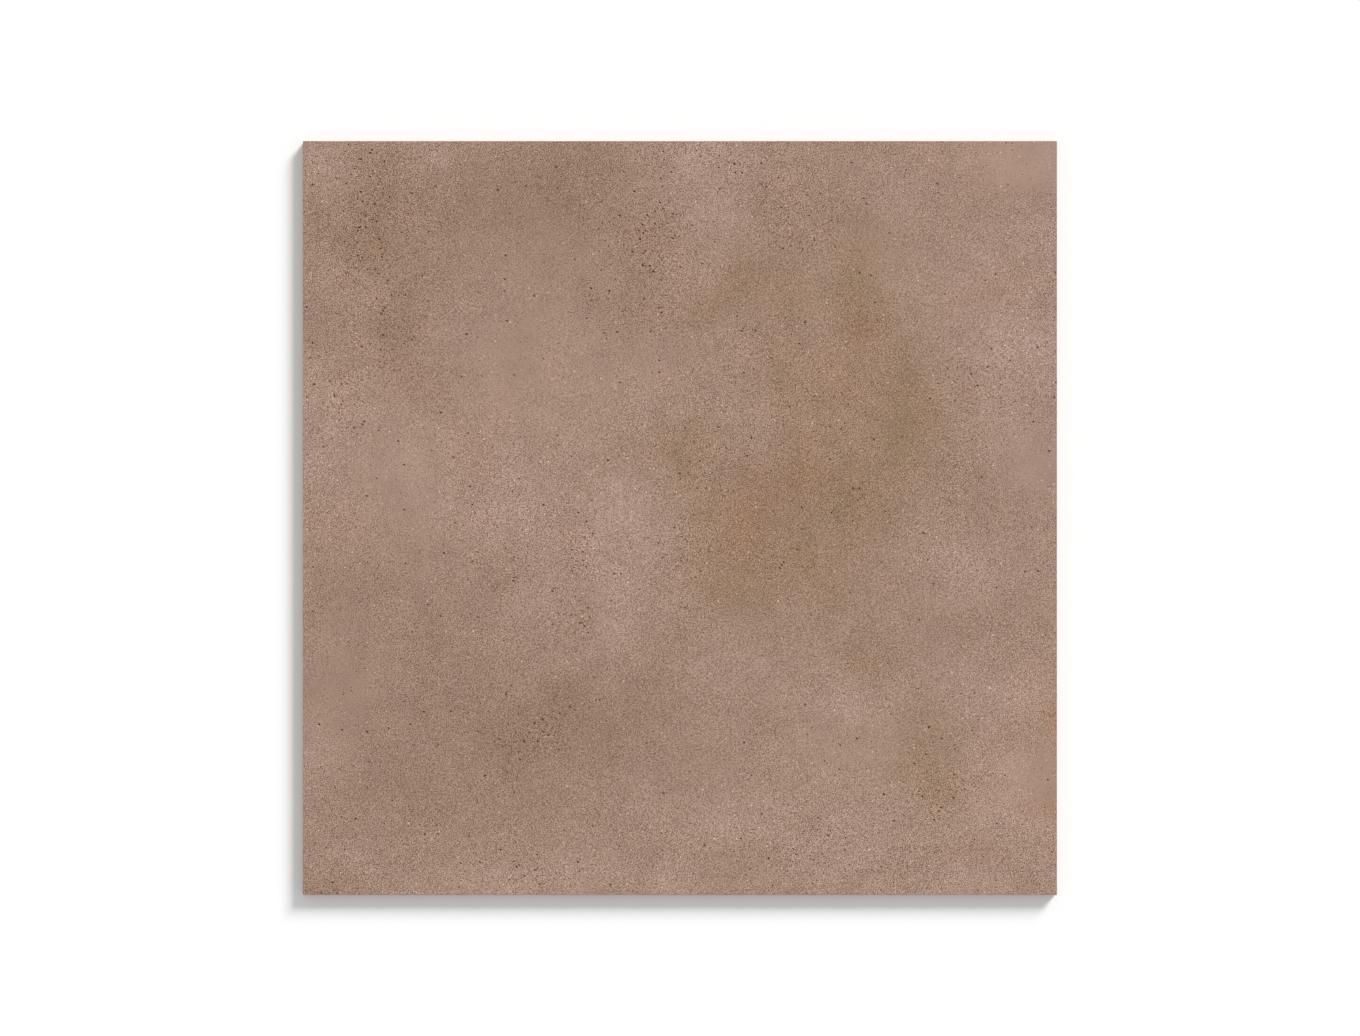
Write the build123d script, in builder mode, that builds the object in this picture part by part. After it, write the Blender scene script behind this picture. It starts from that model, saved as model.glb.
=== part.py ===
"""Rectified porcelain floor tile, pressed and fired as one piece.

The tile lies as it is laid: wear face up, the crests of the back's key ribs at Z = 0,
and the origin at the middle of the back. All sizes are in millimetres.
"""

import os

from build123d import *

# The slab
tile_width = 600.0
tile_length = 600.0
tile_thickness = 9.0

# The 45 degree bevel that the edge grinder leaves round the wear face
bevel = 0.25

# The key pattern pressed into the back: shallow pockets between low ribs that grip the adhesive
key_border = 10.0
key_pitch = 29.0
key_rib_width = 3.0
key_depth = 0.7
key_draft = 30.0


def key_row(span):
    """The count and the pitch of the pockets along a side.

    A whole number of pockets fills the field inside the two plain borders, at nearly the wanted pitch.
    """
    field = span - 2 * key_border + key_rib_width
    count = max(1, round(field / key_pitch))
    return count, field / count


columns, column_pitch = key_row(tile_width)
rows, row_pitch = key_row(tile_length)

# One stud of the press tool, its sides leaning in so that the pressed tile lets go of it
with BuildPart() as key_stud:
    with BuildSketch(Plane.XY):
        Rectangle(column_pitch - key_rib_width, row_pitch - key_rib_width)
    extrude(amount=key_depth, taper=key_draft)

with BuildPart() as floor_tile:
    # Slab, its sides ground square
    with BuildSketch(Plane.XY):
        Rectangle(tile_width, tile_length)
    extrude(amount=tile_thickness)

    # Bevel round the wear face
    wear_face = floor_tile.faces().sort_by(Axis.Z)[-1]
    chamfer(wear_face.edges(), length=bevel)

    # Key pattern in the back: the pockets lie apart, so nothing needs merging after the cut
    with GridLocations(column_pitch, row_pitch, columns, rows):
        add(key_stud.part, mode=Mode.SUBTRACT, clean=False)

floor_tile.part.label = "floor_tile"

os.makedirs("parts", exist_ok=True)
export_step(floor_tile.part, "parts/floor_tile.step")
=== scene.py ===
"""The looks of a concrete-look floor tile: its faces, its fired colour and the studio it lies in.

Lengths are in metres, in the CAD model's frame: wear face up, the crests of the back's ribs at Z = 0.
Places on the wear face are in millimetres from its middle, with +Y towards the top of the picture.
"""

import logging
import math
from dataclasses import dataclass
from enum import Enum

import bpy
import numpy as np
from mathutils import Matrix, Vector


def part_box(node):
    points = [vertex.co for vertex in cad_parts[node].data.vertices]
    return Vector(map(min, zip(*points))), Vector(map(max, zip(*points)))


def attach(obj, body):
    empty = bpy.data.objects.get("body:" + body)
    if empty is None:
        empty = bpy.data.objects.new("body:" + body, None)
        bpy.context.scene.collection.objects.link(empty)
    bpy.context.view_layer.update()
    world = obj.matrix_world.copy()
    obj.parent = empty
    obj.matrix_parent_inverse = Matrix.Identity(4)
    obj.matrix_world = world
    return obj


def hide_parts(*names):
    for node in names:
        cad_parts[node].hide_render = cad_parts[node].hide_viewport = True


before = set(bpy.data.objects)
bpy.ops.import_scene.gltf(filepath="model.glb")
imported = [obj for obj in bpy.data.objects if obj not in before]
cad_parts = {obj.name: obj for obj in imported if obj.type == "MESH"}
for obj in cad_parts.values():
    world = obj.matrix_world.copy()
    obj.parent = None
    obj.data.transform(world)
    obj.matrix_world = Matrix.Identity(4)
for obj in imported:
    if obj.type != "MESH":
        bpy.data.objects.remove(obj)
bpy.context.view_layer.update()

MM = 0.001
NODE = "floor_tile"
BODY = "root"

# The widths of the photograph's frame and of the tile in it, in its own pixels
PHOTO_WIDTH = 1360
PHOTO_TILE = 754

# How fast a cloud fades, so that a quarter of it is left at its half widths
CLOUD_FALL = 1.4

# The range that most of Blender's noise lies in
NOISE_RANGE = (0.3, 0.7)

# The colour sockets of Blender's mix node, which has a set for each type of data
MIX_FIRST = 6
MIX_SECOND = 7
MIX_RESULT = 2

Colour = tuple[float, float, float, float]
Feed = bpy.types.NodeSocket | float | Colour

log = logging.getLogger("floor_tile")


class Pigment(Enum):
    """A wash of colour in the fired face, as a gain on its base colour in linear light."""

    UMBER = (0.860, 0.837, 0.788)
    TAUPE = (0.868, 0.855, 0.825)
    OLIVE = (0.875, 0.860, 0.760)
    RUST = (0.945, 0.840, 0.755)
    MAUVE = (0.905, 0.885, 0.872)
    STRAW = (1.000, 0.985, 0.905)
    OCHRE = (1.116, 1.129, 1.154)
    BLUSH = (1.145, 1.179, 1.238)
    PEACH = (1.180, 1.150, 1.150)


class Region(Enum):
    """A stretch of the tile's surface, by the material slot that dresses it."""

    WEAR_FACE = 0
    BODY = 1


@dataclass(frozen=True)
class Cloud:
    """A soft patch on the wear face, in millimetres: its middle, its two half widths and its strength."""

    x: float
    y: float
    wide: float
    tall: float
    strength: float

    def share(self, x: np.ndarray, y: np.ndarray) -> np.ndarray:
        """How much of the patch lies at a point: a bell, full in its middle and a quarter of it at its rim.

        Args:
            x: The points' places across the tile, in millimetres.
            y: The points' places up the tile, in millimetres.

        Returns:
            The patch's share at each point.
        """
        reach = ((x - self.x) / self.wide) ** 2 + ((y - self.y) / self.tall) ** 2
        return self.strength * np.exp(-CLOUD_FALL * reach)


# The washes of colour in the face, each with the clouds where it lies
CLOUDS: dict[Pigment, list[Cloud]] = {
    Pigment.UMBER: [
        Cloud(-150, 262, 150, 60, 0.35),
        Cloud(-250, 238, 40, 38, 0.50),
        Cloud(-220, 152, 22, 26, 0.45),
        Cloud(-200, 198, 24, 22, 0.25),
        Cloud(-188, 108, 26, 20, 0.35),
        Cloud(-160, 243, 36, 26, 0.30),
        Cloud(-95, 255, 52, 42, 0.45),
        Cloud(-82, 282, 38, 24, 0.45),
        Cloud(-296, 230, 22, 26, 0.35),
        Cloud(-296, 140, 24, 26, 0.30),
        Cloud(-45, 180, 34, 30, 0.25),
        Cloud(-45, 56, 26, 20, 0.25),
        Cloud(-90, 5, 14, 26, 0.25),
        Cloud(82, 236, 34, 30, 0.25),
        Cloud(120, 234, 20, 22, 0.25),
        Cloud(-110, 232, 26, 20, 0.25),
        Cloud(-185, 230, 36, 20, 0.25),
    ],
    Pigment.TAUPE: [
        Cloud(-155, -165, 130, 90, 0.50),
        Cloud(-187, -96, 50, 36, 0.35),
        Cloud(-174, -152, 26, 22, 0.25),
        Cloud(-80, -152, 40, 26, 0.60),
        Cloud(-145, -180, 36, 28, 0.40),
        Cloud(-72, -186, 40, 28, 0.35),
        Cloud(-26, -165, 26, 20, 0.30),
        Cloud(-243, -220, 34, 30, 0.50),
        Cloud(-194, -234, 40, 28, 0.40),
        Cloud(-120, -226, 24, 20, 0.25),
        Cloud(-22, -128, 32, 30, 0.45),
        Cloud(8, -94, 24, 20, 0.25),
        Cloud(-72, -80, 14, 18, 0.25),
        Cloud(-148, -46, 20, 22, 0.25),
        Cloud(-280, -290, 28, 18, 0.45),
        Cloud(60, -161, 20, 16, 0.30),
        Cloud(13, -181, 24, 18, 0.30),
    ],
    Pigment.OLIVE: [
        Cloud(140, 110, 75, 110, 0.35),
        Cloud(85, -5, 85, 65, 0.45),
        Cloud(-250, 218, 28, 22, 0.25),
        Cloud(-212, 160, 20, 30, 0.25),
        Cloud(-36, 222, 28, 22, 0.25),
        Cloud(53, 187, 34, 26, 0.60),
        Cloud(90, 172, 26, 20, 0.30),
        Cloud(20, 160, 26, 24, 0.50),
        Cloud(140, 188, 22, 38, 0.65),
        Cloud(162, 170, 20, 20, 0.25),
        Cloud(173, 85, 36, 52, 0.55),
        Cloud(186, 55, 26, 34, 0.40),
        Cloud(78, 112, 28, 22, 0.30),
        Cloud(4, 62, 30, 26, 0.60),
        Cloud(10, 12, 22, 24, 0.40),
        Cloud(20, -20, 22, 28, 0.30),
        Cloud(138, 22, 34, 32, 0.45),
        Cloud(134, -4, 24, 26, 0.30),
        Cloud(100, 60, 36, 30, 0.20),
        Cloud(53, -55, 32, 26, 0.55),
        Cloud(99, -29, 28, 24, 0.30),
        Cloud(114, -62, 20, 24, 0.30),
        Cloud(135, -61, 16, 24, 0.25),
        Cloud(153, -112, 26, 30, 0.40),
        Cloud(194, -192, 32, 44, 0.55),
        Cloud(167, -210, 18, 20, 0.25),
        Cloud(206, -228, 24, 20, 0.50),
        Cloud(50, -269, 28, 20, 0.35),
    ],
    Pigment.RUST: [
        Cloud(149, 150, 16, 16, 0.60),
        Cloud(84, 140, 18, 16, 0.25),
        Cloud(125, 116, 20, 22, 0.25),
        Cloud(92, 64, 14, 16, 0.20),
        Cloud(92, 30, 22, 18, 0.60),
        Cloud(52, 4, 26, 40, 0.70),
        Cloud(103, -36, 14, 16, 0.25),
        Cloud(252, 188, 30, 14, 0.20),
        Cloud(-215, 109, 20, 18, 0.30),
        Cloud(-160, 52, 18, 24, 0.20),
        Cloud(297, -160, 12, 24, 0.50),
        Cloud(262, -166, 20, 14, 0.20),
        Cloud(288, -223, 18, 14, 0.40),
        Cloud(238, -266, 20, 12, 0.30),
    ],
    Pigment.MAUVE: [
        Cloud(-265, -62, 46, 32, 0.50),
        Cloud(-228, -40, 28, 22, 0.30),
        Cloud(166, -50, 30, 24, 0.25),
        Cloud(208, -48, 22, 20, 0.25),
        Cloud(242, 20, 36, 26, 0.40),
        Cloud(274, -66, 24, 18, 0.35),
        Cloud(238, -94, 44, 24, 0.25),
        Cloud(184, -126, 24, 18, 0.25),
        Cloud(237, 258, 26, 18, 0.25),
        Cloud(151, 231, 26, 22, 0.30),
        Cloud(240, 124, 18, 26, 0.25),
        Cloud(124, 268, 28, 22, 0.30),
    ],
    Pigment.STRAW: [
        Cloud(-270, 112, 30, 40, 0.25),
        Cloud(-195, 74, 44, 44, 0.30),
        Cloud(-125, 92, 50, 40, 0.30),
        Cloud(-285, -15, 30, 36, 0.10),
        Cloud(110, -190, 70, 36, 0.20),
    ],
    Pigment.OCHRE: [
        Cloud(46, 137, 28, 18, 0.50),
        Cloud(60, 80, 34, 22, 0.40),
        Cloud(-88, 110, 60, 42, 0.35),
        Cloud(-28, 103, 28, 24, 0.35),
        Cloud(-203, 38, 32, 28, 0.35),
        Cloud(-200, -2, 28, 22, 0.30),
        Cloud(103, -172, 34, 26, 0.20),
        Cloud(264, -250, 32, 22, 0.45),
    ],
    Pigment.BLUSH: [
        Cloud(-190, 60, 150, 75, 0.42),
        Cloud(-70, -20, 80, 70, 0.30),
        Cloud(270, 120, 70, 130, 0.36),
        Cloud(170, -225, 150, 75, 0.35),
        Cloud(200, 230, 90, 60, 0.06),
        Cloud(-288, 282, 34, 28, 0.35),
        Cloud(-270, 268, 26, 22, 0.45),
        Cloud(-190, 292, 30, 18, 0.70),
        Cloud(-246, 294, 22, 16, 0.40),
        Cloud(-20, 246, 20, 18, 0.25),
        Cloud(16, 285, 34, 30, 0.80),
        Cloud(38, 296, 24, 18, 0.45),
        Cloud(52, 276, 24, 20, 0.30),
        Cloud(20, 236, 28, 26, 0.60),
        Cloud(4, 196, 20, 18, 0.15),
        Cloud(172, 264, 34, 26, 0.30),
        Cloud(190, 188, 34, 26, 0.15),
        Cloud(237, 212, 40, 24, 0.30),
        Cloud(292, 232, 24, 24, 0.35),
        Cloud(246, 297, 26, 16, 0.35),
        Cloud(292, 290, 26, 30, 0.50),
        Cloud(268, 141, 36, 30, 0.70),
        Cloud(214, 138, 16, 24, 0.25),
        Cloud(276, 46, 34, 30, 0.35),
        Cloud(-285, 100, 30, 36, 0.40),
        Cloud(-292, 45, 26, 30, 0.45),
        Cloud(-132, 8, 36, 28, 0.50),
        Cloud(-55, 4, 32, 30, 0.50),
        Cloud(-12, -6, 24, 26, 0.30),
        Cloud(-45, -48, 32, 36, 0.60),
        Cloud(-54, -98, 30, 26, 0.60),
        Cloud(-96, -122, 24, 18, 0.30),
        Cloud(-114, -70, 32, 26, 0.50),
        Cloud(-292, -180, 28, 40, 0.35),
        Cloud(186, -30, 24, 20, 0.30),
        Cloud(230, -37, 34, 28, 0.65),
        Cloud(292, -58, 20, 22, 0.20),
        Cloud(131, -140, 34, 24, 0.75),
        Cloud(39, -122, 32, 22, 0.50),
        Cloud(210, -128, 30, 20, 0.30),
        Cloud(256, -140, 34, 30, 0.50),
        Cloud(236, -158, 18, 18, 0.30),
        Cloud(38, -243, 32, 22, 0.75),
        Cloud(-26, -222, 26, 20, 0.30),
        Cloud(112, -262, 40, 20, 0.40),
        Cloud(150, -239, 40, 22, 0.35),
        Cloud(156, -296, 24, 16, 0.35),
        Cloud(68, -288, 26, 16, 0.30),
        Cloud(-145, -294, 50, 18, 0.60),
        Cloud(-228, -294, 26, 16, 0.45),
        Cloud(-80, -284, 40, 20, 0.65),
        Cloud(-86, -264, 26, 16, 0.25),
        Cloud(-10, -296, 30, 16, 0.50),
        Cloud(-258, -262, 22, 18, 0.25),
        Cloud(218, -292, 40, 18, 0.50),
        Cloud(296, -294, 20, 18, 0.35),
    ],
    Pigment.PEACH: [
        Cloud(254, 288, 40, 24, 0.45),
        Cloud(204, 297, 20, 12, 0.25),
        Cloud(126, 120, 20, 28, 0.45),
        Cloud(98, 74, 16, 24, 0.35),
        Cloud(16, 190, 18, 16, 0.20),
        Cloud(-275, -10, 32, 26, 0.40),
        Cloud(286, -146, 28, 36, 0.45),
        Cloud(258, -209, 44, 40, 0.55),
        Cloud(292, -262, 24, 30, 0.45),
    ],
}

# Where the face is thick with pinholes
PORE_CLUSTERS: list[Cloud] = [
    Cloud(-239, 257, 40, 30, 0.9),
    Cloud(-260, 207, 36, 34, 0.8),
    Cloud(-220, 149, 20, 44, 1.0),
    Cloud(-271, 109, 18, 44, 0.7),
    Cloud(-29, 226, 34, 28, 0.9),
    Cloud(-34, 175, 46, 22, 0.9),
    Cloud(14, 286, 46, 18, 0.8),
    Cloud(93, 231, 30, 24, 0.7),
    Cloud(66, 257, 26, 20, 0.7),
    Cloud(24, 45, 46, 20, 0.7),
    Cloud(5, -16, 26, 24, 0.7),
    Cloud(-80, -21, 16, 34, 1.3),
    Cloud(-82, -96, 16, 34, 0.9),
    Cloud(-135, -35, 30, 22, 0.7),
    Cloud(-130, -167, 44, 30, 0.7),
    Cloud(234, 109, 26, 24, 0.7),
    Cloud(96, 93, 30, 26, 0.6),
    Cloud(66, 135, 26, 22, 0.6),
    Cloud(149, 3, 30, 26, 0.6),
    Cloud(199, -223, 24, 22, 0.8),
    Cloud(98, -258, 44, 18, 0.7),
    Cloud(-104, -282, 70, 16, 0.7),
    Cloud(-284, -295, 30, 16, 0.8),
    Cloud(178, -274, 30, 20, 0.6),
]

# Where the face is smooth, with little grain
SMOOTH_ZONES: list[Cloud] = [
    Cloud(275, 285, 60, 40, 0.8),
    Cloud(-115, 145, 60, 90, 0.7),
    Cloud(-236, 15, 44, 70, 0.6),
    Cloud(-270, -125, 44, 66, 0.7),
    Cloud(290, 45, 36, 50, 0.7),
    Cloud(285, -205, 36, 50, 0.7),
    Cloud(125, -178, 44, 40, 0.5),
    Cloud(155, 212, 40, 36, 0.5),
    Cloud(-20, 122, 34, 24, 0.5),
]


def ease(share: np.ndarray) -> np.ndarray:
    """A share from 0 to 1, eased at both ends: three times its square less twice its cube."""
    return share * share * (3.0 - 2.0 * share)


def soft_noise(x: np.ndarray, y: np.ndarray, cell: float, seed: int) -> np.ndarray:
    """Smooth noise from -1 to 1: random heights at the corners of a square lattice, eased in between.

    Args:
        x: The points' places across.
        y: The points' places up.
        cell: The side of a lattice square, in the same unit.
        seed: Which lattice of random heights to use.

    Returns:
        The noise at each point.
    """
    side = 64
    heights = np.random.default_rng(seed).uniform(-1.0, 1.0, (side, side))
    column = np.floor(x / cell).astype(int)
    row = np.floor(y / cell).astype(int)
    across = ease(x / cell - column)
    up = ease(y / cell - row)
    left = column % side
    right = (column + 1) % side
    low = row % side
    high = (row + 1) % side
    lower = heights[low, left] * (1.0 - across) + heights[low, right] * across
    upper = heights[high, left] * (1.0 - across) + heights[high, right] * across
    return lower * (1.0 - up) + upper * up


@dataclass(frozen=True)
class Ripple:
    """A layer of smooth noise: its strength, the size of its features and its lattice of random heights."""

    strength: float
    size: float
    seed: int

    def at(self, x: np.ndarray, y: np.ndarray) -> np.ndarray:
        """The layer at each point."""
        return self.strength * soft_noise(x, y, self.size, self.seed)


def grid_quads(index: np.ndarray) -> np.ndarray:
    """The quads of a grid of vertex numbers, wound so that a grid of X and Y faces up.

    Args:
        index: Vertex numbers, a row for each Y and a column for each X.

    Returns:
        Four vertex numbers a quad.
    """
    corners = [index[:-1, :-1], index[:-1, 1:], index[1:, 1:], index[1:, :-1]]
    return np.stack(corners, axis=-1).reshape(-1, 4)


def rim_of(grid: np.ndarray) -> np.ndarray:
    """The outer loop of a grid, anticlockwise from above, from its first corner."""
    return np.concatenate([grid[0, :-1], grid[:-1, -1], grid[-1, :0:-1], grid[:0:-1, 0]])


@dataclass(frozen=True)
class KeyPattern:
    """The pockets pressed into the tile's back, at the CAD model's sizes.

    Each wall is eased into rib and floor, and runs past the drafted wall by the share overrun at each end.
    """

    border: float = 10.0 * MM
    pitch: float = 29.0 * MM
    rib_width: float = 3.0 * MM
    depth: float = 0.7 * MM
    draft: float = math.radians(30.0)
    overrun: float = 0.25

    @property
    def wall(self) -> float:
        """The width of a pocket's drafted wall, seen from above."""
        return self.depth * math.tan(self.draft)

    def pockets(self, span: float) -> tuple[int, float]:
        """The count of pockets along a side, and their pitch, which fills the field between the borders.

        Args:
            span: The tile's length along that side.

        Returns:
            The count and the pitch.
        """
        field = span - 2.0 * self.border + self.rib_width
        count = max(1, round(field / self.pitch))
        return count, field / count

    def lines(self, span: float) -> np.ndarray:
        """The grid lines across the back: five to each pocket wall, where the surface bends, and the edges.

        Args:
            span: The tile's length across those lines.

        Returns:
            The lines' places, from edge to edge.
        """
        count, pitch = self.pockets(span)
        centres = (np.arange(count) - (count - 1) / 2.0) * pitch
        inward = np.array([-self.overrun, 0.2, 0.5, 0.8, 1.0 + self.overrun]) * self.wall
        half = (pitch - self.rib_width) / 2.0
        offsets = np.concatenate([-half + inward, (half - inward)[::-1]])
        inner = (centres[:, None] + offsets).ravel()
        return np.concatenate([[-span / 2.0], inner, [span / 2.0]])

    def sunk(self, place: np.ndarray, span: float) -> np.ndarray:
        """How far into a pocket each place along a side is: 0 on a rib, 1 on a floor, eased over the wall.

        Args:
            place: Places along the side, from its middle.
            span: The tile's length along that side.

        Returns:
            The share of the pocket's depth at each place.
        """
        count, pitch = self.pockets(span)
        nearest = np.clip(np.round(place / pitch + (count - 1) / 2.0), 0, count - 1)
        centre = (nearest - (count - 1) / 2.0) * pitch
        inside = (pitch - self.rib_width) / 2.0 - np.abs(place - centre)
        return ease(np.clip((inside / self.wall + self.overrun) / (1.0 + 2.0 * self.overrun), 0.0, 1.0))


@dataclass(frozen=True)
class Scatter:
    """Grains strewn over the tile, at most one to each cell of a random lattice.

    Attributes:
        cell: The usual distance between neighbouring cells.
        share: The share of the cells that hold a grain where the density is 1.
        small: The smallest grain's radius.
        large: The largest grain's radius.
        shift: A shift that makes this scatter unlike the others.
        oblong: How much longer the grains are than wide.
        slant: The angle of their length on the tile.
        rarity: The power that makes large grains rarer than small ones.
        rim: Where a grain starts to fade, as a share of its radius.
    """

    cell: float
    share: float
    small: float
    large: float
    shift: float
    oblong: float = 1.0
    slant: float = 0.0
    rarity: float = 4.0
    rim: float = 0.75


class Nodes:
    """A material's node tree, with short calls for the kinds of node that the finishes use."""

    def __init__(self, name: str) -> None:
        """Starts a material, with its shader and its object coordinates.

        Args:
            name: The material's name.
        """
        self.material = bpy.data.materials.new(name)
        self.material.use_nodes = True
        self.tree = self.material.node_tree
        self.shader = self.tree.nodes["Principled BSDF"]
        self.place = self.tree.nodes.new("ShaderNodeTexCoord").outputs["Object"]

    def plug(self, socket: bpy.types.NodeSocket, value: Feed) -> None:
        """Links a socket to another node's output, or sets its own value.

        Args:
            socket: The socket to feed.
            value: The other node's output, or the value.
        """
        if isinstance(value, bpy.types.NodeSocket):
            self.tree.links.new(value, socket)
        else:
            socket.default_value = value

    def attribute(self, name: str) -> bpy.types.Node:
        """Reads one of the mesh's own attributes.

        Args:
            name: The attribute's name.

        Returns:
            The node that reads it.
        """
        node = self.tree.nodes.new("ShaderNodeAttribute")
        node.attribute_name = name
        return node

    def math(self, operation: str, first: Feed, second: Feed) -> bpy.types.NodeSocket:
        """A sum, product or other operation on two numbers.

        Args:
            operation: Blender's name for the operation.
            first: The first number.
            second: The second number.

        Returns:
            The result's socket.
        """
        node = self.tree.nodes.new("ShaderNodeMath")
        node.operation = operation
        self.plug(node.inputs[0], first)
        self.plug(node.inputs[1], second)
        return node.outputs[0]

    def span(
        self, value: Feed, low: Feed, high: Feed, to_low: Feed = 0.0, to_high: Feed = 1.0
    ) -> bpy.types.NodeSocket:
        """Maps a number from one range to another, held at the ends.

        Args:
            value: The number to map.
            low: Where the first range starts.
            high: Where the first range ends.
            to_low: What the first range's start becomes.
            to_high: What the first range's end becomes.

        Returns:
            The mapped number's socket.
        """
        node = self.tree.nodes.new("ShaderNodeMapRange")
        for name, given in zip(("Value", "From Min", "From Max", "To Min", "To Max"),
                               (value, low, high, to_low, to_high)):
            self.plug(node.inputs[name], given)
        return node.outputs["Result"]

    def mapped(
        self,
        stretch: tuple[float, float, float] = (1.0, 1.0, 1.0),
        turn: tuple[float, float, float] = (0.0, 0.0, 0.0),
        shift: float = 0.0,
    ) -> bpy.types.NodeSocket:
        """The object coordinates, for a pattern that is stretched, then turned, then shifted on the tile.

        Args:
            stretch: How far the pattern is stretched along each of its axes.
            turn: How far it is turned about each axis.
            shift: How far it is shifted along all three, so that two patterns differ.

        Returns:
            Their socket.
        """
        node = self.tree.nodes.new("ShaderNodeMapping")
        node.vector_type = "TEXTURE"
        self.plug(node.inputs["Vector"], self.place)
        node.inputs["Scale"].default_value = stretch
        node.inputs["Rotation"].default_value = turn
        node.inputs["Location"].default_value = (shift, shift, shift)
        return node.outputs["Vector"]

    def noise(
        self, size: float, detail: float = 1.0, vector: bpy.types.NodeSocket | None = None
    ) -> bpy.types.NodeSocket:
        """Smooth noise from about 0 to 1.

        Args:
            size: The size of its features.
            detail: How many finer octaves are added.
            vector: Where it is read, if not at the object coordinates.

        Returns:
            The noise's socket.
        """
        node = self.tree.nodes.new("ShaderNodeTexNoise")
        self.plug(node.inputs["Vector"], vector or self.place)
        node.inputs["Scale"].default_value = 1.0 / size
        node.inputs["Detail"].default_value = detail
        return node.outputs["Fac"]

    def mix(self, factor: Feed, first: Feed, second: Feed) -> bpy.types.NodeSocket:
        """A colour between two others."""
        return self._blend("MIX", factor, first, second)

    def gain(self, factor: Feed, colour: Feed, by: Feed) -> bpy.types.NodeSocket:
        """A colour multiplied by another, as far as the factor says."""
        return self._blend("MULTIPLY", factor, colour, by)

    def _blend(self, kind: str, factor: Feed, first: Feed, second: Feed) -> bpy.types.NodeSocket:
        """A colour mix.

        Args:
            kind: Blender's name for the kind of mix.
            factor: How far the second colour counts.
            first: The first colour.
            second: The second colour.

        Returns:
            The mixed colour's socket.
        """
        node = self.tree.nodes.new("ShaderNodeMix")
        node.data_type = "RGBA"
        node.blend_type = kind
        self.plug(node.inputs["Factor"], factor)
        self.plug(node.inputs[MIX_FIRST], first)
        self.plug(node.inputs[MIX_SECOND], second)
        return node.outputs[MIX_RESULT]

    def speckle(self, scatter: Scatter, density: Feed) -> bpy.types.NodeSocket:
        """A mask of grains: a cell holds one where its random number is below the share, times the density.

        The mask is 1 as far out as the grain's rim and fades to 0 at its radius.

        Args:
            scatter: The grains' sizes and spacing.
            density: How thickly they lie.

        Returns:
            The mask's socket.
        """
        node = self.tree.nodes.new("ShaderNodeTexVoronoi")
        node.voronoi_dimensions = "2D"
        place = self.mapped((scatter.oblong, 1.0, 1.0), (0.0, 0.0, scatter.slant), scatter.shift)
        self.plug(node.inputs["Vector"], place)
        node.inputs["Scale"].default_value = 1.0 / scatter.cell
        chance = self.tree.nodes.new("ShaderNodeSeparateColor")
        self.plug(chance.inputs["Color"], node.outputs["Color"])
        share = self.math("MULTIPLY", density, scatter.share)
        held = self.math("LESS_THAN", chance.outputs["Red"], share)
        spread = self.math("POWER", chance.outputs["Green"], scatter.rarity)
        radius = self.span(spread, 0.0, 1.0, scatter.small / scatter.cell, scatter.large / scatter.cell)
        inside = self.math("DIVIDE", node.outputs["Distance"], radius)
        return self.math("MULTIPLY", held, self.span(inside, 1.0, scatter.rim))

    def emboss(self, height: Feed, depth: float) -> None:
        """Gives the shader a bump.

        Args:
            height: The height to show.
            depth: The length that a height of 1 stands for.
        """
        node = self.tree.nodes.new("ShaderNodeBump")
        node.inputs["Distance"].default_value = depth
        self.plug(node.inputs["Height"], height)
        self.plug(self.shader.inputs["Normal"], node.outputs["Normal"])


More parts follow.
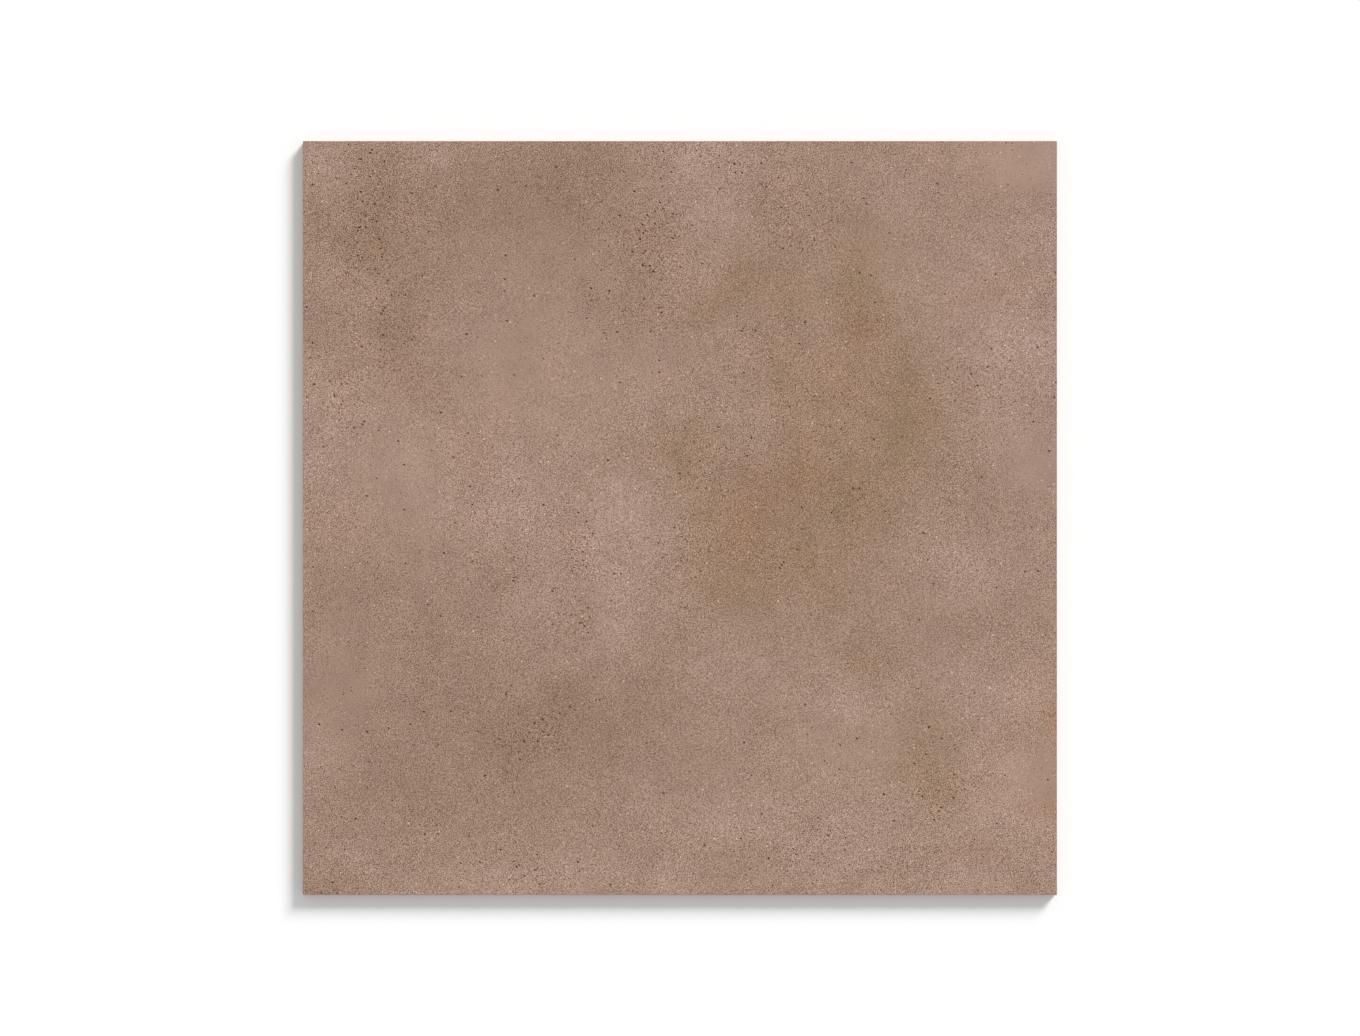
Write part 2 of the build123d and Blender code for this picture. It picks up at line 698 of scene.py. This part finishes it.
@dataclass(frozen=True)
class WearFinish:
    """The matt wear face: a clouded, sandy colour with pinholes, set by the attributes that Tile paints."""

    base: tuple[float, float, float] = (0.346, 0.229, 0.171)
    dark_grain: Colour = (0.455, 0.35, 0.17, 1.0)
    pale_grain: Colour = (1.545, 1.65, 1.83, 1.0)
    pinhole: Colour = (0.26, 0.11, 0.01, 1.0)
    freckle: Colour = (0.45, 0.31, 0.12, 1.0)
    fleck: Colour = (1.64, 1.77, 1.90, 1.0)
    sand_size: float = 0.62 * MM
    sand_turn: tuple[float, float, float] = (0.6, 0.4, 0.9)
    grain_swing: float = 0.21
    sand_height: float = 0.35
    mottle_size: float = 17.0 * MM
    mottle_range: tuple[float, float] = (0.25, 0.75)
    mottle: tuple[float, float] = (0.955, 1.045)
    freckle_scatter: Scatter = Scatter(1.9 * MM, 0.42, 0.40 * MM, 0.66 * MM, 0.31)
    fleck_scatter: Scatter = Scatter(3.0 * MM, 0.15, 0.34 * MM, 0.80 * MM, 0.57)
    pinhole_scatter: Scatter = Scatter(2.8 * MM, 0.38, 0.36 * MM, 0.80 * MM, 0.83, 1.6, math.radians(-30.0))
    roughness: tuple[float, float] = (0.58, 0.76)
    specular: float = 0.15
    bump_height: float = 0.12 * MM

    def material(self) -> bpy.types.Material:
        """Builds the finish.

        Returns:
            The material, for meshes with the attributes wash, pores and grain.
        """
        nodes = Nodes("matt_wear_face")
        wash = nodes.attribute("wash").outputs["Color"]
        pores = nodes.attribute("pores").outputs["Fac"]
        grain = nodes.attribute("grain").outputs["Fac"]

        # The clouded ground colour, mottled a little
        colour = nodes.gain(1.0, wash, (*self.base, 1.0))
        mottle = nodes.span(nodes.noise(self.mottle_size, 0.0), *self.mottle_range, *self.mottle)
        colour = nodes.gain(1.0, colour, mottle)

        # Sand grain, between a dark and a pale cast of the ground colour
        sandy = nodes.noise(self.sand_size, 0.0, nodes.mapped(turn=self.sand_turn))
        swing = nodes.math("MULTIPLY", nodes.math("SUBTRACT", sandy, 0.5), grain)
        depth = nodes.span(swing, -self.grain_swing, self.grain_swing)
        dark = nodes.gain(1.0, colour, self.dark_grain)
        pale = nodes.gain(1.0, colour, self.pale_grain)
        colour = nodes.mix(depth, dark, pale)

        # Specks: brown freckles, pale flecks and dark pinholes
        freckles = nodes.speckle(self.freckle_scatter, pores)
        flecks = nodes.speckle(self.fleck_scatter, grain)
        pinholes = nodes.speckle(self.pinhole_scatter, pores)
        colour = nodes.gain(freckles, colour, self.freckle)
        colour = nodes.gain(flecks, colour, self.fleck)
        colour = nodes.gain(pinholes, colour, self.pinhole)
        nodes.plug(nodes.shader.inputs["Base Color"], colour)

        # The sheen comes and goes with the grain, and the pinholes are pits
        sheen = nodes.span(sandy, *NOISE_RANGE, *self.roughness)
        nodes.plug(nodes.shader.inputs["Roughness"], nodes.math("MAXIMUM", sheen, pinholes))
        nodes.shader.inputs["Specular IOR Level"].default_value = self.specular
        height = nodes.math("SUBTRACT", nodes.math("MULTIPLY", sandy, self.sand_height), pinholes)
        nodes.emboss(height, self.bump_height)
        return nodes.material


@dataclass(frozen=True)
class BodyFinish:
    """The fired body where it shows: the ground edges, and the pressed back with its dusted ribs."""

    dark: Colour = (0.285, 0.190, 0.140, 1.0)
    pale: Colour = (0.385, 0.270, 0.205, 1.0)
    dust: Colour = (0.560, 0.500, 0.440, 1.0)
    arris: Colour = (1.10, 1.10, 1.10, 1.0)
    speck: Colour = (0.60, 0.54, 0.48, 1.0)
    body_grain: float = 1.6 * MM
    grain_share: float = 0.6
    stroke: tuple[float, float, float] = (40.0 * MM, 40.0 * MM, 0.3 * MM)
    speck_size: float = 0.7 * MM
    speck_range: tuple[float, float] = (0.70, 0.76)
    arris_blend: float = 0.1
    dust_size: float = 9.0 * MM
    dust_range: tuple[float, float] = (0.40, 0.62)
    dust_cling: tuple[float, float] = (0.1, 0.75)
    dust_depth: float = 0.05 * MM
    roughness: tuple[float, float] = (0.55, 0.80)
    specular: float = 0.30
    bump_height: float = 0.10 * MM

    def material(self, thickness: float, bevel: float) -> bpy.types.Material:
        """Builds the finish.

        Args:
            thickness: The tile's thickness, where the bevel ends.
            bevel: The bevel's size.

        Returns:
            The material.
        """
        nodes = Nodes("fired_body")
        height = nodes.tree.nodes.new("ShaderNodeSeparateXYZ")
        nodes.plug(height.inputs["Vector"], nodes.place)
        level = height.outputs["Z"]

        # The body's grain, and the strokes of the edge grinder along the sides
        grain = nodes.noise(self.body_grain, 3.0)
        strokes = nodes.noise(1.0, 1.0, nodes.mapped(self.stroke))
        grain = nodes.math("MULTIPLY", grain, self.grain_share)
        strokes = nodes.math("MULTIPLY", strokes, 1.0 - self.grain_share)
        tone = nodes.math("ADD", grain, strokes)
        colour = nodes.mix(nodes.span(tone, *NOISE_RANGE), self.dark, self.pale)
        specks = nodes.span(nodes.noise(self.speck_size, 0.0), *self.speck_range)
        colour = nodes.gain(specks, colour, self.speck)

        # The bevel is ground finer and paler, and kiln dust clings to the crests of the ribs
        ground = nodes.span(level, thickness - bevel, thickness - (1.0 - self.arris_blend) * bevel)
        colour = nodes.gain(ground, colour, self.arris)
        cling = nodes.span(nodes.noise(self.dust_size, 4.0), *self.dust_range, *self.dust_cling)
        crest = nodes.math("MULTIPLY", nodes.span(level, self.dust_depth, 0.0), cling)
        colour = nodes.mix(crest, colour, self.dust)
        nodes.plug(nodes.shader.inputs["Base Color"], colour)

        nodes.plug(nodes.shader.inputs["Roughness"], nodes.span(tone, *NOISE_RANGE, *self.roughness))
        nodes.shader.inputs["Specular IOR Level"].default_value = self.specular
        nodes.emboss(tone, self.bump_height)
        return nodes.material


@dataclass
class Tile:
    """The tile's whole skin, one closed surface: wear face, ground bevel and sides, and ribbed back.

    The layers of noise that bend the clouds and vary the grain are in millimetres, as the clouds are.
    """

    width: float
    length: float
    thickness: float
    bevel: float = 0.25 * MM
    key: KeyPattern = KeyPattern()
    side_rows: int = 4
    relief: float = 0.08 * MM
    relief_layers: tuple[Ripple, Ripple] = (Ripple(0.7, 70.0 * MM, 3), Ripple(0.3, 22.0 * MM, 5))
    relief_margin: float = 12.0 * MM
    cloud_depth: float = 1.3
    bend_x: tuple[Ripple, Ripple] = (Ripple(10.0, 46.0, 11), Ripple(5.0, 17.0, 12))
    bend_y: tuple[Ripple, Ripple] = (Ripple(10.0, 46.0, 13), Ripple(5.0, 17.0, 14))
    pore_floor: float = 0.10
    grain_drift: Ripple = Ripple(0.2, 34.0, 15)
    grain_limits: tuple[float, float] = (0.25, 1.3)
    map_face: float = 0.86
    map_gap: float = 0.01
    strip_fill: float = 0.8

    def __post_init__(self) -> None:
        """Sets the grid lines, as many across the face as the back needs."""
        self.back_x = self.key.lines(self.width)
        self.back_y = self.key.lines(self.length)
        self.even_x = np.linspace(-1.0, 1.0, len(self.back_x))
        self.even_y = np.linspace(-1.0, 1.0, len(self.back_y))

    def face_height(self, x: np.ndarray, y: np.ndarray) -> np.ndarray:
        """The wear face: flat, less a trowelled unevenness of two noises that fades out before the edges.

        Args:
            x: The points' places across.
            y: The points' places up.

        Returns:
            The face's Z at each point, never above the tile's thickness.
        """
        uneven = sum(layer.at(x, y) for layer in self.relief_layers)
        from_side = self.width / 2.0 - self.bevel - np.abs(x)
        from_end = self.length / 2.0 - self.bevel - np.abs(y)
        margin = np.minimum(from_side, from_end)
        fade = np.clip(margin / self.relief_margin, 0.0, 1.0)
        return self.thickness - self.relief * fade * (0.5 + 0.5 * uneven)

    def back_height(self, x: np.ndarray, y: np.ndarray) -> np.ndarray:
        """The back: the lesser of how far a point is sunk across and along, times the pockets' depth.

        Args:
            x: The points' places across.
            y: The points' places up.

        Returns:
            The back's Z at each point, 0 on the crests of the ribs.
        """
        return self.key.depth * np.minimum(self.key.sunk(x, self.width), self.key.sunk(y, self.length))

    def ring(self, inset: float, depth: float) -> np.ndarray:
        """A loop round the tile, its points between the face's even lines and the back's lines.

        Args:
            inset: How far inside the sides it runs.
            depth: How far below the wear face it runs.

        Returns:
            Its points, three numbers each.
        """
        down = depth / self.thickness
        half_x = self.width / 2.0
        half_y = self.length / 2.0
        x = (1.0 - down) * self.even_x + down * self.back_x / half_x
        y = (1.0 - down) * self.even_y + down * self.back_y / half_y
        across, up = np.meshgrid(x * (half_x - inset), y * (half_y - inset))
        level = np.full(len(rim_of(across)), self.thickness - depth)
        return np.stack([rim_of(across), rim_of(up), level], axis=-1)

    def build(self) -> bpy.types.Object:
        """Joins the face's grid, the rings of the edge and the back's grid into one closed mesh.

        Returns:
            The tile's object, dressed with its two materials.
        """
        # Points
        half_x = self.width / 2.0 - self.bevel
        half_y = self.length / 2.0 - self.bevel
        face_x, face_y = np.meshgrid(self.even_x * half_x, self.even_y * half_y)
        face = np.stack([face_x, face_y, self.face_height(face_x, face_y)], axis=-1).reshape(-1, 3)
        depths = np.linspace(self.bevel, self.thickness, self.side_rows + 1)[:-1]
        rings = [self.ring(0.0, depth) for depth in depths]
        back_x, back_y = np.meshgrid(self.back_x, self.back_y)
        back = np.stack([back_x, back_y, self.back_height(back_x, back_y)], axis=-1).reshape(-1, 3)
        points = np.concatenate([face, *rings, back])

        # Quads: the face, the bands of the edge from the bevel down, and the back, wound to face down
        around = len(rings[0])
        face_index = np.arange(len(face)).reshape(face_x.shape)
        back_index = np.arange(len(points) - len(back), len(points)).reshape(back_x.shape)
        ring_index = len(face) + np.arange(len(rings) * around).reshape(len(rings), around)
        loops = np.concatenate([[rim_of(face_index)], ring_index, [rim_of(back_index)]])
        closed = np.concatenate([loops, loops[:, :1]], axis=1)
        bands = grid_quads(closed[::-1])
        face_quads = grid_quads(face_index)
        back_quads = grid_quads(back_index)[:, ::-1]
        quads = np.concatenate([face_quads, bands, back_quads])

        mesh = bpy.data.meshes.new("tile")
        mesh.from_pydata(points, [], quads)
        smooth = np.arange(len(quads)) < len(face_quads)
        mesh.polygons.foreach_set("use_smooth", smooth)
        regions = np.where(smooth, Region.WEAR_FACE.value, Region.BODY.value)
        mesh.polygons.foreach_set("material_index", regions)
        rim = np.zeros(len(points), dtype=bool)
        rim[rim_of(face_index)] = True
        ends = np.empty(2 * len(mesh.edges), dtype=np.int32)
        mesh.edges.foreach_get("vertices", ends)
        mesh.edges.foreach_set("use_edge_sharp", rim[ends].reshape(-1, 2).all(axis=1))
        self.paint(mesh, points)
        self.unwrap(mesh, points, face_quads, back_quads, closed.shape)
        mesh.validate()
        mesh.update()
        tile = bpy.data.objects.new("tile", mesh)
        bpy.context.scene.collection.objects.link(tile)
        self.dress(tile)
        return tile

    def paint(self, mesh: bpy.types.Mesh, points: np.ndarray) -> None:
        """Gives the mesh its wash of colour, its share of pinholes and its strength of grain.

        The clouds' places are bent by noise, so that they have no plain outline. Each one adds the
        logarithm of its pigment's gain, times its share, so that washes on top of each other multiply.

        Args:
            mesh: The tile's mesh.
            points: Its vertices.
        """
        x = points[:, 0] / MM
        y = points[:, 1] / MM
        bent_x = x + sum(layer.at(x, y) for layer in self.bend_x)
        bent_y = y + sum(layer.at(x, y) for layer in self.bend_y)
        wash = np.zeros((len(points), 3))
        for pigment, clouds in CLOUDS.items():
            share = sum(cloud.share(bent_x, bent_y) for cloud in clouds)
            wash += self.cloud_depth * share[:, None] * np.log(pigment.value)
        colour = np.ones((len(points), 4))
        colour[:, :3] = np.exp(wash)
        mesh.attributes.new("wash", "FLOAT_COLOR", "POINT").data.foreach_set("color", colour.ravel())

        pores = self.pore_floor + sum(cluster.share(bent_x, bent_y) for cluster in PORE_CLUSTERS)
        mesh.attributes.new("pores", "FLOAT", "POINT").data.foreach_set("value", pores)

        smooth = sum(zone.share(bent_x, bent_y) for zone in SMOOTH_ZONES)
        grain = np.clip(1.0 - smooth + self.grain_drift.at(x, y), *self.grain_limits)
        mesh.attributes.new("grain", "FLOAT", "POINT").data.foreach_set("value", grain)

    def unwrap(
        self,
        mesh: bpy.types.Mesh,
        points: np.ndarray,
        face_quads: np.ndarray,
        back_quads: np.ndarray,
        loops: tuple[int, int],
    ) -> None:
        """Lays the surface out flat: the face large, the back small beside it, the edge in four strips above.

        Args:
            mesh: The tile's mesh, its polygons in the order face, edge, back.
            points: Its vertices.
            face_quads: The face's quads.
            back_quads: The back's quads.
            loops: How many loops the edge has, and how many points each has with its first one repeated.
        """
        gap = self.map_gap
        flat = points[:, :2] / (self.width, self.length) + 0.5
        face = gap + self.map_face * flat[face_quads]
        small = 1.0 - self.map_face - 3.0 * gap
        back = np.array([self.map_face + 2.0 * gap, gap]) + small * flat[back_quads]

        # Each side of the edge is a strip of its own
        rows, columns = loops
        corners = np.array([[0.0, 0.0], [1.0, 0.0], [1.0, 1.0], [0.0, 1.0]])
        band, along = np.divmod(np.arange((rows - 1) * (columns - 1)), columns - 1)
        side, step = np.divmod(along, (columns - 1) // 4)
        strip = (1.0 - self.map_face - 2.0 * gap) / 4.0
        across = (step[:, None] + corners[:, 0]) / ((columns - 1) / 4)
        up = (band[:, None] + corners[:, 1]) / (rows - 1)
        edge = np.stack([
            gap + self.map_face * across,
            self.map_face + 2.0 * gap + strip * (side[:, None] + self.strip_fill * up),
        ], axis=-1)
        layer = mesh.uv_layers.new(name="OFBake")
        layer.data.foreach_set("uv", np.concatenate([face, edge, back]).ravel())

    def dress(self, tile: bpy.types.Object) -> None:
        """Gives the tile its finishes, and stands it for the CAD model's node.

        Args:
            tile: The tile's object.
        """
        tile.data.materials.append(WearFinish().material())
        tile.data.materials.append(BodyFinish().material(self.thickness, self.bevel))
        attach(tile, BODY)
        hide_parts(NODE)


@dataclass
class Studio:
    """A white floor under soft light from the upper right, seen straight from above."""

    wear_face: float
    floor_side: float = 16.0
    floor_white: float = 0.99
    lens: float = 100.0
    sensor: float = 36.0
    sun_height: float = math.radians(24.5)
    sun_bearing: float = math.radians(51.0)
    sun_size: float = math.radians(20.0)
    sun_share: float = 0.46
    light: float = 1.02

    def build(self, tile_width: float) -> None:
        """Lays the floor, hangs the lights and sets the camera.

        Args:
            tile_width: The tile's width, which the photograph shows PHOTO_TILE pixels wide.
        """
        self.lay_floor()
        self.light_sky()
        self.hang_sun()
        self.set_camera(tile_width)
        bpy.context.scene.view_settings.view_transform = "Standard"

    def lay_floor(self) -> None:
        """A large flat square at the level of the tile's ribs."""
        edge = np.array([-0.5, 0.5]) * self.floor_side
        x, y = np.meshgrid(edge, edge)
        points = np.stack([x, y, np.zeros_like(x)], axis=-1).reshape(-1, 3)
        mesh = bpy.data.meshes.new("floor")
        mesh.from_pydata(points, [], grid_quads(np.arange(4).reshape(2, 2)))
        floor = bpy.data.objects.new("floor", mesh)
        bpy.context.scene.collection.objects.link(floor)
        nodes = Nodes("white_floor")
        nodes.shader.inputs["Base Color"].default_value = (*[self.floor_white] * 3, 1.0)
        nodes.shader.inputs["Roughness"].default_value = 1.0
        nodes.shader.inputs["Specular IOR Level"].default_value = 0.0
        mesh.materials.append(nodes.material)

    def light_sky(self) -> None:
        """An even white sky, which shows as plain white behind the floor."""
        world = bpy.data.worlds.new("sky")
        bpy.context.scene.world = world
        world.use_nodes = True
        tree = world.node_tree
        lit = tree.nodes["Background"]
        lit.inputs["Color"].default_value = (1.0, 1.0, 1.0, 1.0)
        lit.inputs["Strength"].default_value = self.light * (1.0 - self.sun_share)
        shown = tree.nodes.new("ShaderNodeBackground")
        shown.inputs["Color"].default_value = (1.0, 1.0, 1.0, 1.0)
        path = tree.nodes.new("ShaderNodeLightPath")
        seen = path.outputs["Is Camera Ray"]
        for name in ("Is Glossy Ray", "Is Transmission Ray"):
            either = tree.nodes.new("ShaderNodeMath")
            either.operation = "MAXIMUM"
            tree.links.new(seen, either.inputs[0])
            tree.links.new(path.outputs[name], either.inputs[1])
            seen = either.outputs[0]
        mixed = tree.nodes.new("ShaderNodeMixShader")
        tree.links.new(seen, mixed.inputs["Fac"])
        tree.links.new(lit.outputs[0], mixed.inputs[1])
        tree.links.new(shown.outputs[0], mixed.inputs[2])
        tree.links.new(mixed.outputs[0], tree.nodes["World Output"].inputs["Surface"])

    def hang_sun(self) -> None:
        """A broad soft lamp to the upper right, whose low light draws the shadow at the lower left."""
        lamp = bpy.data.lights.new("sun", "SUN")
        lamp.angle = self.sun_size
        lamp.energy = self.light * self.sun_share * math.pi / math.sin(self.sun_height)
        sun = bpy.data.objects.new("sun", lamp)
        level = math.cos(self.sun_height)
        towards = Vector((
            level * math.cos(self.sun_bearing),
            level * math.sin(self.sun_bearing),
            math.sin(self.sun_height),
        ))
        sun.rotation_mode = "QUATERNION"
        sun.rotation_quaternion = towards.to_track_quat("Z", "Y")
        bpy.context.scene.collection.objects.link(sun)

    def set_camera(self, tile_width: float) -> None:
        """A long lens above the tile's middle, at the height where the tile fills its share of the frame.

        Args:
            tile_width: The tile's width.
        """
        data = bpy.data.cameras.new("camera")
        data.lens = self.lens
        data.sensor_width = self.sensor
        data.sensor_fit = "HORIZONTAL"
        frame_width = tile_width * PHOTO_WIDTH / PHOTO_TILE
        camera = bpy.data.objects.new("camera", data)
        camera.location = (0.0, 0.0, self.wear_face + frame_width * self.lens / self.sensor)
        bpy.context.scene.collection.objects.link(camera)
        bpy.context.scene.camera = camera


def main() -> None:
    """Builds the tile and its studio, and reports each piece."""
    logging.basicConfig(level=logging.INFO, format="%(message)s")
    low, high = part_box(NODE)
    width, length, thickness = high - low
    tile = Tile(width, length, thickness).build()
    tile.data.calc_loop_triangles()
    triangles = len(tile.data.loop_triangles)
    log.info("tile: %.0f x %.0f x %.1f mm, %d triangles", width / MM, length / MM, thickness / MM, triangles)
    Studio(wear_face=high.z).build(width)
    log.info("studio: floor, sky, sun and camera")


if __name__ == "__main__":
    main()
